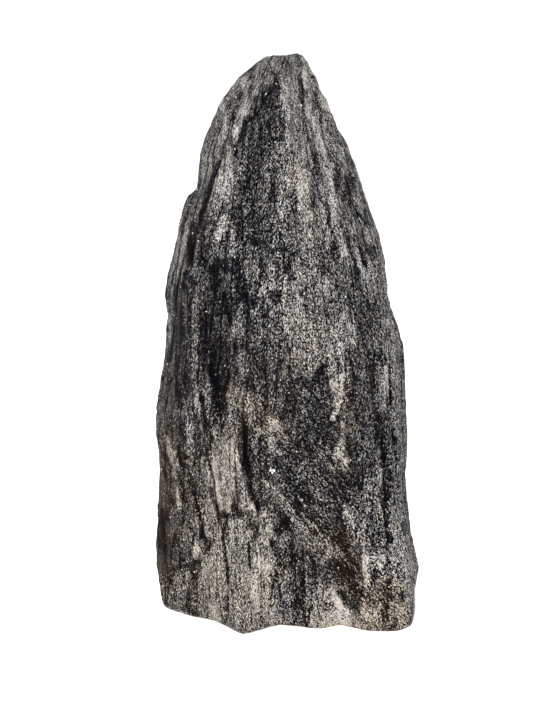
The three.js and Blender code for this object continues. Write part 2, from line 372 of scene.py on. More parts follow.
# Whole areas that are paler or darker than their bands, added to them one by one.
AREAS = [
    (0.4, (268, 58, 14), (304, 62, 16), (316, 84, 12)),
    (0.2, (272, 82, 13), (288, 86, 14)),
    (0.14, (256, 112, 22), (254, 150, 24), (256, 180, 20)),
    (0.12, (318, 110, 14), (328, 160, 14), (340, 190, 12)),
    (0.3, (303, 70, 7), (313, 78, 7), (318, 104, 8), (332, 134, 9), (357, 175, 8), (370, 215, 7),
     (384, 270, 8)),
    (0.35, (308, 112, 7), (318, 146, 8)),
    (-0.15, (292, 128, 8), (294, 170, 8), (294, 184, 7)),
    (-0.12, (306, 164, 8), (310, 184, 8)),
    (0.32, (346, 154, 9), (350, 172, 10)),
    (0.22, (355, 188, 9), (359, 208, 9), (370, 236, 8)),
    (0.3, (236, 112, 7), (232, 126, 8)),
    (0.38, (240, 128, 7), (241, 138, 7)),
    (0.14, (213, 150, 8), (213, 164, 8)),
    (0.2, (240, 78, 7), (240, 84, 7)),
    (0.25, (235, 94, 6), (235, 100, 6)),
    (0.08, (222, 108, 6), (220, 114, 6)),
    (-0.25, (250, 90, 6), (248, 96, 6)),
    (-0.35, (236, 138, 7), (230, 170, 8)),
    (0.3, (206, 160, 6), (204, 172, 6)),
    (-0.4, (214, 200, 9), (216, 222, 9)),
    (-0.2, (248, 190, 8), (250, 196, 8)),
    (0.08, (285, 194, 7), (287, 203, 7)),
    (-0.2, (272, 184, 8), (278, 190, 7)),
    (0.12, (290, 148, 8), (290, 156, 8)),
    (-0.2, (278, 150, 7), (280, 158, 7)),
    (0.18, (303, 124, 7), (303, 136, 7)),
    (-0.15, (308, 106, 6), (310, 114, 6)),
    (0.15, (231, 196, 7), (231, 205, 6)),
    (-0.3, (263, 225, 8), (263, 237, 9)),
    (-0.4, (228, 244, 9), (238, 256, 8)),
    (0.25, (330, 212, 7), (330, 220, 7)),
    (-0.35, (316, 222, 7), (323, 240, 7), (323, 252, 7)),
    (-0.12, (302, 282, 9), (316, 288, 9)),
    (0.3, (346, 256, 8), (364, 262, 8), (369, 282, 8)),
    (-0.32, (265, 196, 9), (262, 226, 10), (256, 256, 8)),
    (-0.35, (276, 266, 8), (276, 276, 8)),
    (0.3, (306, 264, 8), (310, 272, 8)),
    (-0.3, (297, 256, 7), (298, 266, 7)),
    (0.3, (388, 290, 8), (394, 345, 11), (396, 380, 11)),
    # Painted sheen: paler on the left flank.
    (0.28, (178, 218, 6), (184, 246, 10), (170, 278, 10)),
    (-0.3, (204, 252, 8), (212, 262, 8)),
    (-0.3, (180, 290, 7), (178, 345, 7), (184, 378, 8)),
    # Painted sheen: paler at the left edge.
    (0.35, (166, 318, 6), (166, 344, 6)),
    (-0.35, (190, 374, 7), (190, 390, 7)),
    (-0.25, (286, 282, 8), (278, 300, 8), (284, 326, 8)),
    (-0.4, (322, 306, 10), (324, 324, 9)),
    (-0.25, (304, 340, 10), (314, 346, 8)),
    (-0.15, (276, 306, 9), (272, 342, 9)),
    (-0.25, (334, 306, 8), (336, 312, 8)),
    (-0.2, (284, 370, 8), (284, 376, 8)),
    (0.15, (333, 340, 7), (333, 346, 7)),
    (0.12, (346, 318, 7), (347, 325, 7)),
    (-0.22, (380, 302, 8), (383, 310, 8)),
    (-0.18, (362, 322, 10), (362, 338, 10)),
    (-0.3, (238, 316, 8), (242, 345, 8)),
    (-0.45, (242, 352, 8), (234, 380, 8)),
    (0.12, (206, 350, 7), (210, 370, 7)),
    (-0.22, (206, 384, 7), (206, 392, 7)),
    (-0.2, (358, 384, 8), (360, 396, 8)),
    (0.35, (257, 418, 7), (260, 426, 7)),
    (-0.28, (318, 416, 9), (326, 426, 9)),
    (-0.2, (346, 464, 8), (340, 474, 8)),
    (-0.35, (260, 356, 9), (262, 388, 8)),
    (0.25, (282, 356, 7), (282, 362, 7)),
    (-0.35, (316, 362, 8), (310, 384, 8)),
    (-0.25, (360, 356, 9), (360, 376, 9)),
    (0.3, (302, 390, 6), (305, 396, 6)),
    (0.3, (278, 432, 9), (290, 436, 9)),
    (0.15, (262, 436, 8), (263, 466, 8)),
    (-0.5, (218, 402, 7), (220, 424, 9), (228, 432, 8)),
    (-0.3, (168, 423, 8), (190, 440, 9)),
    (0.25, (264, 418, 7), (270, 424, 8)),
    (-0.25, (352, 396, 8), (362, 416, 8), (374, 432, 8)),
    (-0.3, (322, 436, 8), (320, 446, 8)),
    (0.35, (211, 466, 8), (220, 482, 8)),
    (-0.2, (218, 446, 8), (224, 466, 9)),
    (-0.42, (286, 458, 9), (290, 472, 9)),
    (-0.4, (342, 490, 11), (384, 462, 11), (390, 478, 10), (392, 502, 10)),
    (0.2, (402, 440, 7), (402, 462, 7)),
    (-0.38, (269, 500, 8), (275, 510, 8), (286, 511, 7)),
    (-0.25, (352, 506, 8), (356, 514, 8)),
    (-0.35, (260, 533, 6), (263, 547, 6)),
    (0.4, (314, 504, 8), (318, 516, 8)),
    (-0.48, (304, 484, 6), (303, 506, 7), (305, 520, 8), (310, 529, 8)),
    (0.45, (262, 522, 7), (264, 545, 8), (262, 590, 9)),
    (-0.32, (188, 464, 9), (193, 482, 9), (194, 503, 8)),
    (0.12, (208, 502, 8), (212, 512, 8)),
    (-0.25, (208, 526, 8), (210, 536, 8)),
    (-0.25, (380, 532, 10), (374, 556, 8)),
    (0.15, (236, 566, 10), (245, 600, 22)),
    (0.1, (230, 532, 8), (230, 540, 8)),
    (-0.2, (233, 548, 7), (233, 554, 7)),
    (0.22, (198, 558, 8), (199, 568, 8)),
    (-0.2, (182, 540, 9), (180, 552, 9)),
    (0.2, (186, 572, 9), (190, 586, 9)),
    (-0.15, (160, 590, 9), (166, 602, 9)),
    (-0.25, (276, 596, 7), (284, 610, 8)),
    (0.12, (216, 602, 8), (217, 618, 8)),
    (-0.35, (321, 585, 6), (323, 593, 6)),
    (-0.3, (290, 552, 7), (292, 566, 7)),
    (0.2, (312, 584, 8), (312, 590, 8)),
    (0.22, (302, 538, 8), (302, 546, 8)),
    (-0.22, (312, 560, 8), (312, 568, 8)),
    (0.2, (382, 560, 14), (392, 612, 14)),
    (0.12, (405, 566, 8), (405, 618, 8)),
    (-0.5, (390, 594, 8), (398, 596, 8)),
    (-0.5, (379, 578, 8), (384, 586, 8)),
    (-0.25, (380, 610, 7), (384, 616, 7)),
    (0.25, (404, 614, 7), (404, 620, 7)),
    (0.35, (370, 562, 9), (374, 584, 10)),
    (0.1, (304, 600, 8), (308, 614, 8)),
    (0.4, (328, 618, 8), (350, 618, 10)),
    (0.35, (331, 598, 8), (339, 606, 8)),
    (0.5, (344, 625, 5), (366, 622, 9), (378, 630, 5)),
    (-0.25, (386, 618, 7), (392, 622, 7)),
]
# Long thin seams: dark mica that parts the layers, and pale edges of layers inside the scar.
SEAMS = [
    (-0.75, (301, 64, 1.2), (302, 88, 1.3), (303, 110, 1.4), (306, 122, 1.5), (310, 144, 1.5),
     (314, 160, 1.6)),
    (-0.7, (315, 88, 1.3), (316, 104, 1.3), (321, 112, 1.3), (322, 126, 1.3), (326, 145, 1.4),
     (331, 160, 1.4)),
    (-0.6, (306, 116, 1.2), (312, 128, 1.3), (316, 142, 1.3), (319, 160, 1.4), (322, 184, 1.4)),
    (-0.7, (327, 204, 1.3), (331, 226, 1.4), (334, 244, 1.4), (337, 266, 1.4)),
    (-0.6, (295, 186, 1.3), (296, 205, 1.4), (298, 226, 1.4)),
    (-0.6, (284, 112, 1.3), (284, 128, 1.4), (282, 142, 1.4)),
    (-0.6, (346, 228, 1.3), (353, 252, 1.4), (359, 276, 1.4)),
    (-0.5, (205, 454, 1.2), (212, 470, 1.3), (217, 494, 1.3)),
    (0.55, (276, 500, 1.1), (292, 515, 1.2), (308, 530, 1.3), (322, 546, 1.2)),
    (0.5, (262, 480, 1.0), (273, 495, 1.1), (284, 511, 1.1)),
    (0.5, (302, 514, 1.0), (318, 531, 1.1), (332, 549, 1.1)),
    (0.45, (284, 484, 1.0), (298, 500, 1.1), (312, 518, 1.0)),
]
UNDER_THE_TIP = [
    (-0.75, (268, 93, 7), (265, 106, 10), (266, 118, 11)),
    (-0.62, (267, 121, 14), (260, 138, 18), (257, 152, 14)),
    (-0.95, (263, 138, 6), (258, 150, 7), (254, 165, 8), (250, 182, 8)),
    (-0.6, (282, 116, 3), (284, 128, 4), (282, 140, 3)),
    (-1.0, (276, 75, 2), (277, 86, 3), (278, 96, 2.5)),
    (-0.5, (283, 58, 4), (286, 66, 5), (289, 72, 4)),
    (0.45, (303, 60, 3), (305, 72, 3), (305, 84, 3), (304, 92, 2)),
    (-0.55, (299, 62, 2), (300, 78, 3), (303, 92, 2)),
    (0.5, (308, 100, 4), (309, 112, 3.5), (308, 120, 2.5)),
    (-0.5, (312, 78, 3), (313, 90, 4), (314, 103, 3), (316, 112, 3)),
    (0.4, (322, 99, 3), (328, 112, 3.5)),
    (0.4, (256, 70, 3), (257, 84, 4), (256, 93, 3)),
    (0.55, (245, 82, 4), (244, 98, 4), (244, 109, 4), (238, 124, 3.5), (236, 138, 4)),
    (-0.32, (240, 92, 3), (236, 104, 5), (232, 115, 4), (229, 126, 3)),
    (-0.45, (246, 117, 3), (246, 127, 3.5)),
    (0.45, (224, 104, 2.5), (223, 120, 3), (223, 133, 3.5), (219, 141, 4)),
    (0.5, (287, 84, 5), (286, 100, 6), (287, 113, 5)),
    (0.3, (294, 88, 4), (296, 108, 4), (294, 125, 4)),
    (0.45, (288, 128, 2.5), (288, 142, 3), (289, 152, 3)),
    (-0.7, (303, 118, 2), (307, 130, 3), (311, 142, 2.5), (315, 154, 4), (316, 170, 4)),
    (0.5, (313, 122, 3), (316, 134, 4), (320, 142, 3), (323, 152, 2)),
    (0.75, (325, 140, 2.5), (327, 155, 2.5)),
    (-0.4, (333, 128, 4), (336, 142, 5)),
]
UPPER_LEFT = [
    (0.75, (227, 144, 2.5), (229, 154, 4), (228, 166, 6), (226, 178, 7), (221, 186, 8)),
    # Painted shade along the step of the ledge.
    (-0.7, (219, 161, 2), (214, 174, 3), (211, 186, 3), (206, 198, 3), (203, 209, 3), (200, 218, 3.5)),
    (0.55, (221, 190, 8), (216, 200, 7), (214, 212, 5)),
    (0.9, (223, 218, 3.5), (220, 228, 5), (219, 236, 5)),
    (0.6, (234, 232, 2.5), (235, 244, 2.5), (233, 256, 2.5)),
    # Painted shade along the same step.
    (-0.8, (203, 222, 2), (202, 236, 2.5), (202, 252, 3), (201, 264, 3)),
    (-0.6, (192, 226, 4), (191, 240, 3.5), (189, 254, 2.5), (188, 264, 2.5)),
    (-0.75, (184, 272, 2.5), (184, 288, 3)),
    (-0.65, (191, 277, 4), (193, 282, 3)),
    (-0.6, (240, 182, 5), (244, 196, 7), (249, 204, 5)),
    (-0.75, (240, 206, 3), (239, 220, 5), (240, 240, 4)),
    (-0.5, (276, 170, 2.5), (275, 184, 3.5), (275, 198, 3)),
]
UPPER_RIGHT = [
    (0.35, (284, 172, 3), (288, 186, 4), (284, 200, 5), (280, 214, 4)),
    (-0.4, (295, 188, 2), (296, 205, 2), (297, 222, 2.5)),
    (0.6, (300, 152, 3.5), (299, 160, 4), (300, 168, 4.5)),
    (0.95, (301, 170, 4.5), (303, 182, 5.5), (303, 194, 5.5), (301, 206, 4)),
    (0.45, (307, 212, 5), (309, 224, 4), (305, 236, 3)),
    (-0.45, (313, 176, 4), (315, 190, 4), (314, 206, 3)),
    (0.65, (331, 163, 1.8), (332, 178, 2), (333, 192, 3), (334, 204, 4), (333, 216, 3.5)),
    (0.5, (336, 224, 4), (341, 234, 4), (343, 246, 3), (342, 256, 2.5)),
    (0.4, (322, 204, 1.6), (325, 218, 2.5), (327, 232, 2.5), (327, 246, 2)),
    (-0.6, (338, 164, 4), (338, 178, 4), (339, 186, 3)),
    (-0.7, (350, 178, 4), (350, 188, 4), (345, 198, 3)),
    (-0.45, (366, 214, 4), (369, 226, 4)),
    (0.45, (352, 226, 2), (353, 236, 2), (357, 247, 2), (359, 258, 2.5), (364, 270, 2.5), (368, 279, 3)),
    # Painted shade in the open crack.
    (-0.8, (361, 248, 2), (363, 256, 3), (367, 264, 2)),
    (-0.5, (371, 249, 5), (374, 258, 3)),
    # Painted shade in the open crack.
    (-1.0, (333, 243, 3), (334, 252, 4), (336, 258, 3.5)),
    (-0.55, (323, 265, 4), (322, 275, 3)),
    (-0.5, (354, 269, 3), (356, 280, 4), (357, 291, 4)),
    (0.5, (327, 274, 1.8), (328, 283, 3), (325, 293, 2.5)),
    (-0.45, (338, 282, 4), (344, 296, 5), (351, 300, 5)),
    (0.35, (305, 266, 7), (303, 280, 6)),
    (-0.35, (285, 226, 7), (288, 246, 8), (290, 256, 7)),
    (-0.65, (289, 262, 3.5), (291, 272, 3), (292, 280, 2.5)),
    (-0.45, (277, 248, 2), (277, 262, 2.5), (278, 273, 2)),
    (-0.4, (366, 308, 8), (374, 322, 8)),
]
MIDDLE_LEFT = [
    (-0.95, (213, 270, 4), (215, 282, 5), (214, 293, 3)),
    (-0.8, (224, 262, 7), (232, 269, 6)),
    (-1.0, (236, 262, 3), (237, 272, 5), (240, 282, 6), (244, 293, 5)),
    (-0.6, (226, 298, 10), (214, 308, 10), (208, 322, 9)),
    (-0.6, (182, 310, 3), (182, 322, 3), (181, 335, 3)),
    (0.45, (272, 268, 3), (271, 280, 4), (265, 291, 5)),
    (0.6, (283, 276, 3), (284, 288, 5), (283, 297, 3)),
    (-0.6, (253, 280, 4), (254, 292, 5)),
    (-0.6, (258, 302, 4), (250, 304, 3), (247, 312, 3), (250, 322, 4), (254, 332, 6), (251, 344, 7)),
    (0.4, (241, 302, 2.5), (238, 312, 2.5), (235, 324, 3), (234, 337, 3)),
    (-0.55, (262, 314, 6), (257, 325, 6)),
    (0.45, (284, 304, 4), (285, 318, 4.5), (283, 333, 5)),
    (-0.5, (270, 342, 4), (258, 346, 6)),
    (-0.75, (219, 344, 8), (220, 364, 9), (219, 382, 9), (219, 398, 7), (222, 412, 5)),
    (-1.0, (214, 352, 4), (212, 368, 4), (213, 380, 5), (217, 393, 5)),
    (0.35, (243, 351, 3), (243, 366, 3.5), (244, 380, 4)),
    (-0.55, (226, 373, 3), (226, 386, 3)),
    (0.4, (242, 389, 4), (247, 397, 3), (252, 404, 2)),
    (-0.55, (252, 351, 3), (252, 364, 3.5), (249, 378, 4), (252, 387, 4)),
    (0.3, (205, 379, 5), (203, 390, 5)),
    (-0.65, (177, 383, 2.5), (178, 396, 3), (179, 409, 2.5)),
    (0.6, (196, 401, 3), (197, 413, 3)),
    # Painted shade in the open crack.
    (-0.95, (201, 397, 1.8), (202, 410, 2.5), (204, 422, 3), (206, 431, 2)),
    (-0.6, (199, 419, 3), (197, 430, 2.5), (198, 447, 3)),
    (0.45, (190, 425, 4), (189, 436, 4), (190, 446, 2.5)),
    (-0.7, (183, 418, 2.5), (181, 430, 3), (184, 440, 2.5)),
    (0.45, (217, 428, 2), (214, 438, 3), (213, 446, 2.5)),
    (-0.5, (210, 427, 2.5), (209, 446, 4), (203, 453, 3)),
    (0.5, (167, 439, 2), (169, 448, 3), (173, 456, 4), (176, 466, 3.5), (174, 476, 2.5)),
    (-0.8, (178, 449, 2), (181, 458, 2.5), (183, 468, 2.5)),
]
PALE_SLAB = [
    (0.5, (226, 419, 4), (228, 428, 6), (228, 437, 7)),
    (0.75, (226, 446, 11), (225, 460, 14), (224, 474, 14), (222, 487, 13)),
    (0.65, (224, 492, 8), (225, 502, 8), (226, 508, 7)),
    (0.55, (247, 484, 5), (248, 496, 5), (246, 507, 4)),
    (0.95, (250, 501, 2), (253, 510, 2.5), (256, 519, 2)),
    # This band and the next are painted shadow where the stone steps down right of the slab.
    (-0.8, (239, 413, 3), (243, 424, 3), (244, 440, 5), (248, 452, 8), (249, 464, 7), (250, 476, 5),
     (250, 485, 3.5)),
    (-0.8, (251, 489, 3), (254, 500, 3), (257, 510, 3), (258, 521, 3)),
    (-0.5, (249, 430, 6), (256, 437, 6)),
    # This band and the next are painted shadow under the broken end of the slab's layer.
    (-0.75, (235, 507, 3), (241, 512, 4)),
    (-0.7, (221, 516, 3), (230, 516, 4)),
]
SCAR = [
    (0.9, (258, 430, 3), (260, 439, 2)),
    (0.5, (272, 417, 4), (277, 426, 4), (272, 428, 5)),
    (0.45, (268, 432, 2), (274, 440, 3), (272, 446, 2.5), (279, 452, 2.5), (285, 454, 2.5)),
    (0.55, (313, 363, 3), (310, 373, 5)),
    (0.45, (296, 336, 4), (305, 334, 4), (313, 344, 4)),
    (0.5, (336, 335, 5), (337, 346, 4), (331, 354, 4)),
    (0.75, (351, 327, 4), (353, 335, 4.5), (354, 343, 3)),
    # Painted shade in the open pit.
    (-0.8, (327, 367, 3), (322, 373, 4), (323, 380, 4)),
    (0.95, (341, 377, 3), (338, 385, 6), (339, 392, 5), (338, 402, 3), (336, 412, 3), (333, 418, 2)),
    (0.7, (342, 423, 2.5), (344, 434, 3), (342, 446, 4), (339, 456, 5)),
    (0.7, (337, 456, 4), (345, 460, 4), (343, 468, 2)),
    (-0.7, (312, 408, 5), (314, 424, 8), (324, 424, 8), (328, 434, 7)),
    (-0.45, (316, 393, 5), (317, 399, 5)),
]
RIGHT_SIDE = [
    (0.25, (362, 344, 2.5), (364, 374, 3)),
    (0.7, (386, 371, 3), (386, 386, 3.5), (386, 397, 2.5)),
    # This band and the next two are painted shade in the open cracks.
    (-0.9, (380, 420, 6), (383, 430, 6), (384, 444, 5), (385, 458, 4.5), (387, 470, 5), (389, 481, 4.5)),
    (-0.9, (391, 366, 1), (391, 392, 1), (392, 406, 1)),
    (-0.8, (390, 418, 1.5), (393, 430, 1.5), (396, 444, 1.2), (398, 459, 1)),
    (-0.4, (371, 349, 3), (372, 366, 2.5), (377, 379, 3)),
    # Painted shade in the open crack.
    (-0.95, (388, 482, 4), (387, 500, 4), (387, 514, 3.5), (386, 525, 3)),
    (0.65, (382, 473, 2.5), (382, 487, 2.5)),
    (-0.8, (404, 523, 2.5), (406, 533, 2.5)),
]
LOWER_LEFT = [
    (0.6, (175, 483, 2), (177, 491, 2), (179, 500, 2.5), (180, 508, 2.5)),
    # Painted shade in the open crack.
    (-0.65, (194, 481, 4), (195, 492, 4), (197, 502, 3), (199, 514, 3), (201, 526, 3), (203, 538, 3.5)),
    (-0.45, (182, 485, 3), (184, 498, 3), (187, 509, 3)),
    (-0.7, (163, 513, 4), (163, 525, 4)),
    (-0.75, (162, 535, 5), (165, 546, 5), (165, 551, 4)),
    (0.35, (208, 487, 3), (210, 498, 2.5), (211, 509, 3)),
    (-0.5, (212, 487, 1.5), (214, 500, 1.8), (216, 511, 2)),
    (0.5, (205, 513, 4), (207, 524, 5), (208, 535, 4)),
    (0.55, (236, 523, 7), (235, 536, 8), (233, 547, 5)),
    # Painted shade in the open crack.
    (-0.85, (219, 520, 2.5), (223, 530, 2), (224, 544, 1.6), (224, 556, 1.6), (226, 568, 1.8),
     (227, 582, 1.6)),
    (0.85, (195, 548, 3), (197, 556, 3.5)),
    # Painted shadow under the ledge where the upper layer ends.
    (-0.7, (208, 540, 3), (206, 552, 3), (199, 560, 2.5), (191, 564, 4), (183, 566, 6)),
    (0.5, (216, 539, 5), (216, 553, 6)),
    (0.45, (213, 560, 6), (215, 574, 6), (216, 591, 6)),
    (0.4, (203, 562, 4), (205, 577, 4)),
    (-0.6, (193, 567, 4), (193, 579, 3)),
    (-0.7, (190, 587, 3), (189, 600, 3.5), (188, 609, 3)),
    (0.6, (212, 605, 4), (215, 614, 4), (217, 621, 3)),
    (-0.55, (227, 599, 2.5), (227, 611, 2)),
    (0.25, (236, 603, 5), (236, 613, 6), (240, 623, 4)),
]
BOTTOM = [
    # Painted shade in the open crack.
    (-0.7, (249, 545, 1.6), (250, 560, 1.6), (252, 571, 1.5)),
    (-0.7, (257, 521, 3), (258, 535, 3)),
    (0.8, (263, 516, 4), (266, 525, 5), (272, 539, 6)),
    (0.65, (252, 532, 4), (253, 540, 4), (257, 549, 4)),
    (0.95, (257, 561, 4), (263, 564, 6), (264, 571, 5)),
    (0.5, (233, 578, 5), (250, 576, 6), (265, 578, 6)),
    (0.75, (252, 589, 5), (260, 597, 8), (264, 608, 8)),
    (-0.5, (274, 545, 4), (271, 557, 3)),
    (-0.8, (282, 511, 5), (284, 522, 6), (280, 531, 6)),
    (0.1, (268, 492, 9), (284, 505, 8), (312, 535, 7), (330, 552, 8)),
    (-0.85, (298, 499, 3), (300, 512, 3.5), (306, 519, 3)),
    # A dark band that in its upper part is painted shade in the open crack.
    (-0.7, (293, 552, 4), (297, 560, 5), (297, 574, 6), (300, 588, 6), (298, 602, 6),
     (302, 613, 6), (300, 625, 6)),
    (-0.6, (322, 519, 6), (334, 530, 7), (342, 541, 5)),
    (-0.8, (344, 545, 4), (347, 556, 4), (352, 568, 5), (350, 582, 6), (357, 595, 6)),
    (-0.9, (333, 560, 4), (338, 566, 5), (342, 575, 5)),
    (0.45, (347, 512, 3), (353, 522, 3), (355, 529, 2.5)),
    (-0.6, (358, 517, 2), (358, 531, 2.5)),
    (0.6, (322, 589, 6), (320, 602, 8), (318, 615, 7)),
    (0.85, (336, 589, 5), (337, 600, 5), (341, 611, 5), (346, 618, 4)),
    (0.8, (320, 622, 9), (340, 620, 9)),
    # Painted shade along the step of the ledge.
    (-0.6, (340, 591, 2), (348, 604, 2.5), (355, 612, 4), (361, 619, 4)),
    (0.95, (367, 606, 5), (368, 613, 6), (375, 616, 5)),
    (-0.7, (385, 604, 3), (384, 615, 3)),
    # Painted shade in the open crack.
    (-0.55, (402, 591, 2.5), (403, 599, 2.5)),
    (0.3, (397, 549, 6), (398, 562, 7), (399, 577, 6)),
    (0.85, (366, 559, 3), (365, 570, 3), (367, 583, 3)),
    (0.8, (378, 557, 2.5), (382, 566, 2.5), (378, 575, 2)),
    (-0.9, (374, 571, 2), (378, 578, 2.5), (382, 577, 2)),
    # Painted shade in the open crack.
    (-0.7, (388, 540, 2.5), (389, 556, 2.5), (389, 572, 3), (389, 587, 3)),
    (-0.6, (374, 537, 3), (373, 551, 2.5)),
    (0.5, (366, 523, 2.5), (362, 536, 4), (360, 546, 5)),
    (-0.5, (376, 507, 5), (376, 520, 6), (384, 534, 5)),
]

PALE_SHARE, DARK_SHARE = 0.87, 0.82  # how much of each painted tone shows through the grain
tone = brushed(WASHES + UNDER_THE_TIP + UPPER_LEFT + UPPER_RIGHT + MIDDLE_LEFT + PALE_SLAB, 0.0 * x)
tone = brushed(SCAR + RIGHT_SIDE + LOWER_LEFT + BOTTOM + SEAMS, tone)
for area in AREAS:
    tone += brushed([area], 0.0 * x)
tone = np.where(tone > 0, PALE_SHARE, DARK_SHARE) * tone
# Round the sides and the back, the bands are random and run along the layers.
elsewhere = 1.5 * uneven(layers, (5.5, 5.5, 55), 91, 3)
tone = front * tone + (1 - front) * elsewhere

# The stone's cast, painted in the same way: below 0 the blue grey of fresh black mica, and above 0
# the brown of iron stain, and along the foot and the lower right edge a painted brown reflection.
CASTS = [
    (0.28, (190, 212, 12), (184, 290, 12), (190, 365, 12), (168, 395, 12)),
    (-0.75, (264, 110, 13), (258, 150, 17), (254, 190, 20), (258, 225, 18), (265, 255, 14)),
    (-0.1, (200, 265, 12), (230, 268, 14), (238, 300, 14)),
    (-0.65, (262, 306, 12), (262, 345, 12)),
    (-0.55, (335, 136, 8), (342, 146, 8)),
    (-0.6, (346, 256, 10), (346, 292, 10)),
    (-0.8, (366, 220, 10), (368, 290, 13), (376, 318, 13)),
    (-0.6, (388, 310, 10), (392, 345, 10)),
    (0.22, (298, 168, 11), (304, 215, 11)),
    (0.25, (315, 290, 10), (322, 335, 12), (214, 342, 6)),
    (0.45, (240, 368, 8), (270, 364, 10), (308, 362, 10)),
    (-1.6, (390, 405, 12), (393, 440, 14), (391, 468, 12)),
    (-0.5, (388, 495, 12), (388, 545, 12)),
    # A thin brown line down the lower right edge: painted brown light reflected from a table below.
    (0.5, (407, 405, 3.5), (408, 470, 3.5), (412, 520, 4), (419, 562, 4.5)),
    (-0.45, (318, 385, 11), (316, 418, 11)),
    (0.75, (238, 392, 12), (262, 412, 14), (240, 436, 12)),
    (0.38, (290, 392, 9), (290, 448, 11)),
    (0.7, (266, 424, 8), (278, 434, 9)),
    (0.48, (342, 388, 8), (342, 470, 10)),
    (0.28, (364, 388, 8), (364, 418, 8)),
    (0.55, (215, 440, 16), (212, 480, 18), (212, 540, 20), (215, 600, 22)),
    (1.0, (164, 440, 13), (164, 480, 13), (162, 540, 13), (168, 600, 13)),
    (0.58, (190, 460, 12), (188, 540, 14), (190, 600, 12)),
    (0.45, (255, 500, 20), (262, 560, 22), (250, 610, 22)),
    (0.45, (296, 516, 11), (318, 516, 12)),
    (0.6, (300, 560, 16), (315, 540, 14)),
    (0.78, (342, 540, 12), (346, 575, 14), (362, 600, 12)),
    (1.05, (388, 592, 12), (392, 622, 12), (364, 622, 9)),
    (0.4, (318, 590, 14), (315, 615, 14)),
]
cast = front * brushed(CASTS, 0.1 + 0.0 * x, 2.0) + 0.5 * (1 - front) * uneven(layers, (14, 14, 30), 55, 2)
cast += 0.25 * uneven(layers, (5, 5, 14), 56, 2)
# Painted reflected light at the foot: its rim is browner, as if lit from below by a brown table,
# and at the front it is a little paler.
cast = np.maximum(cast, 1.5 * smooth(2.2 - z, 0.0, 2.2))
tone += 0.3 * front * smooth(1.6 - z, 0.0, 1.2)

# How strong the grain is, painted in the same way: weak on the smooth tip, weak on the left side
# where a grey sheen is painted, and strong where crystals stand out.
GRAINS = [
    (1.08, (270, 300, 110), (285, 450, 130), (285, 620, 130)),
    (1.05, (285, 90, 60), (285, 180, 90)),
    (0.78, (262, 62, 18), (262, 66, 18)),
    (0.98, (290, 64, 14), (296, 90, 18)),
    (0.82, (246, 92, 20), (240, 112, 18)),
    (0.78, (222, 130, 18), (212, 170, 12)),
    (1.12, (270, 150, 16), (266, 240, 18)),
    (1.12, (312, 160, 18), (322, 250, 22)),
    # Weaker grain down the left flank, where a grey sheen is painted.
    (0.74, (206, 150, 12), (192, 210, 14), (176, 270, 14), (172, 330, 14), (168, 400, 14)),
    (0.8, (166, 440, 12), (164, 500, 12), (163, 565, 12)),
    (0.84, (214, 268, 12), (216, 310, 12), (216, 345, 12), (213, 380, 10)),
    (0.95, (265, 365, 10), (270, 365, 10)),
    (0.8, (228, 440, 12), (224, 500, 14)),
    (0.8, (346, 150, 8), (358, 190, 12), (372, 240, 10)),
    (1.15, (270, 446, 16), (286, 480, 22), (310, 505, 24), (330, 490, 22)),
    (1.25, (316, 400, 14), (318, 470, 14)),
    (1.3, (388, 478, 16), (394, 520, 20), (394, 575, 20)),
    (1.22, (346, 480, 14), (366, 540, 14)),
    (1.15, (240, 612, 16), (300, 612, 16)),
    (1.15, (360, 615, 14), (392, 615, 14)),
]
grain = 1.0 + front * (brushed(GRAINS, 1.0 + 0.0 * x, 2.0) - 1.0)

# Green fuchsite shows only as a faint cast at the tip and as one small grain on the right.
GREENS = [(0.45, (296, 54, 4), (302, 55, 4)), (1.0, (347, 154, 1.6), (347, 155, 1.6))]

# The rings are joined into one closed skin, with a crown over the tip and a sole under the foot.
SOLE_INSETS = (0.97, 0.88, 0.7, 0.45, 0.2)
SOLE_RISE = 0.35  # how far the broken sole lifts off the table inside its rim
vertices = list(shaped.reshape(-1, 3))
faces = []
for ring in range(ring_count - 1):
    for n in range(around):
        a, b = ring * around + n, ring * around + (n + 1) % around
        faces.append((a, b, b + around, a + around))
last = (ring_count - 1) * around
crown = len(vertices)
vertices.append(shaped[-1].mean(axis=0) + np.array([0, 0, 0.1]))
faces += [(last + n, last + (n + 1) % around, crown) for n in range(around)]
edge, middle = shaped[0], shaped[0].mean(axis=0)
previous = 0
for inset in SOLE_INSETS:
    start = len(vertices)
    ring = middle + (edge - middle) * inset
    rise = SOLE_RISE * smooth(1 - inset, 0.02, 0.2) * (0.6 + 0.4 * uneven(ring, (6, 6, 6), 61, 2))
    vertices += list(ring + np.array([0, 0, 1]) * rise[:, None])
    for n in range(around):
        m = (n + 1) % around
        faces.append((previous + m, previous + n, start + n, start + m))
    previous = start
centre = len(vertices)
vertices.append(middle + np.array([0, 0, 0.2]))
faces += [(previous + (n + 1) % around, previous + n, centre) for n in range(around)]

stone_mesh = bpy.data.meshes.new("schist_stone")
stone_mesh.from_pydata((np.array(vertices) * MM).tolist(), [], faces)
stone_mesh.polygons.foreach_set("use_smooth", [True] * len(stone_mesh.polygons))


def keep_on_mesh(name, values, fill):
    """Stores a number or a place for each vertex of the stone, with fill for its crown and sole."""
    kind, field = ("FLOAT", "value") if values.ndim == 2 else ("FLOAT_VECTOR", "vector")
    layer = stone_mesh.attributes.new(name, kind, "POINT")
    width = 1 if values.ndim == 2 else 3
    whole = np.vstack([values.reshape(-1, width), fill])
    layer.data.foreach_set(field, whole.astype(np.float32).reshape(-1))


